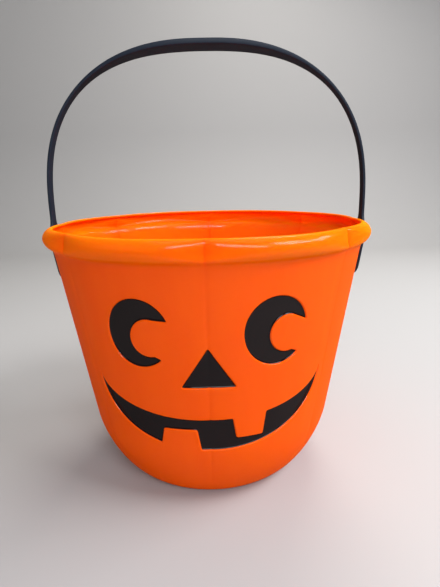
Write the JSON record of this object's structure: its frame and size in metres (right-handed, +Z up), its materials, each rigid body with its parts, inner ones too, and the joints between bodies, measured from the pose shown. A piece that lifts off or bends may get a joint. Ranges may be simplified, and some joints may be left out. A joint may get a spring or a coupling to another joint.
{
  "type": "trick-or-treat bucket",
  "caption": "Moulded pail with pumpkin lobes, a rolled-out rim, a sunk and painted jack-o'-lantern face and a strap handle that swings on snap studs.",
  "frame": {"origin": "middle of the flat base, on the surface the bucket stands on", "axes": "+Z up through the middle of the pail, -Y out of the painted face, +X to the viewer's right along the handle's swing axis"},
  "size_m": [0.2106, 0.2046, 0.2756],
  "materials": {
    "orange_plastic": "moulded polypropylene, glossy",
    "black_paint": "gloss black enamel on the sunk face",
    "charcoal_plastic": "moulded polypropylene, satin"
  },
  "bodies": {
    "bucket": {"bucket_shell": "orange_plastic", "left_eye_paint": "black_paint", "right_eye_paint": "black_paint", "nose_paint": "black_paint", "mouth_paint": "black_paint"},
    "handle": {"handle_strap": "charcoal_plastic"}
  },
  "joints": [
    {"name": "handle_swing", "type": "hinge", "parent": "bucket", "child": "handle", "pos_m": [0, 0, 0.1359], "axis": [1, 0, 0], "range_deg": [-141, 141]}
  ]
}
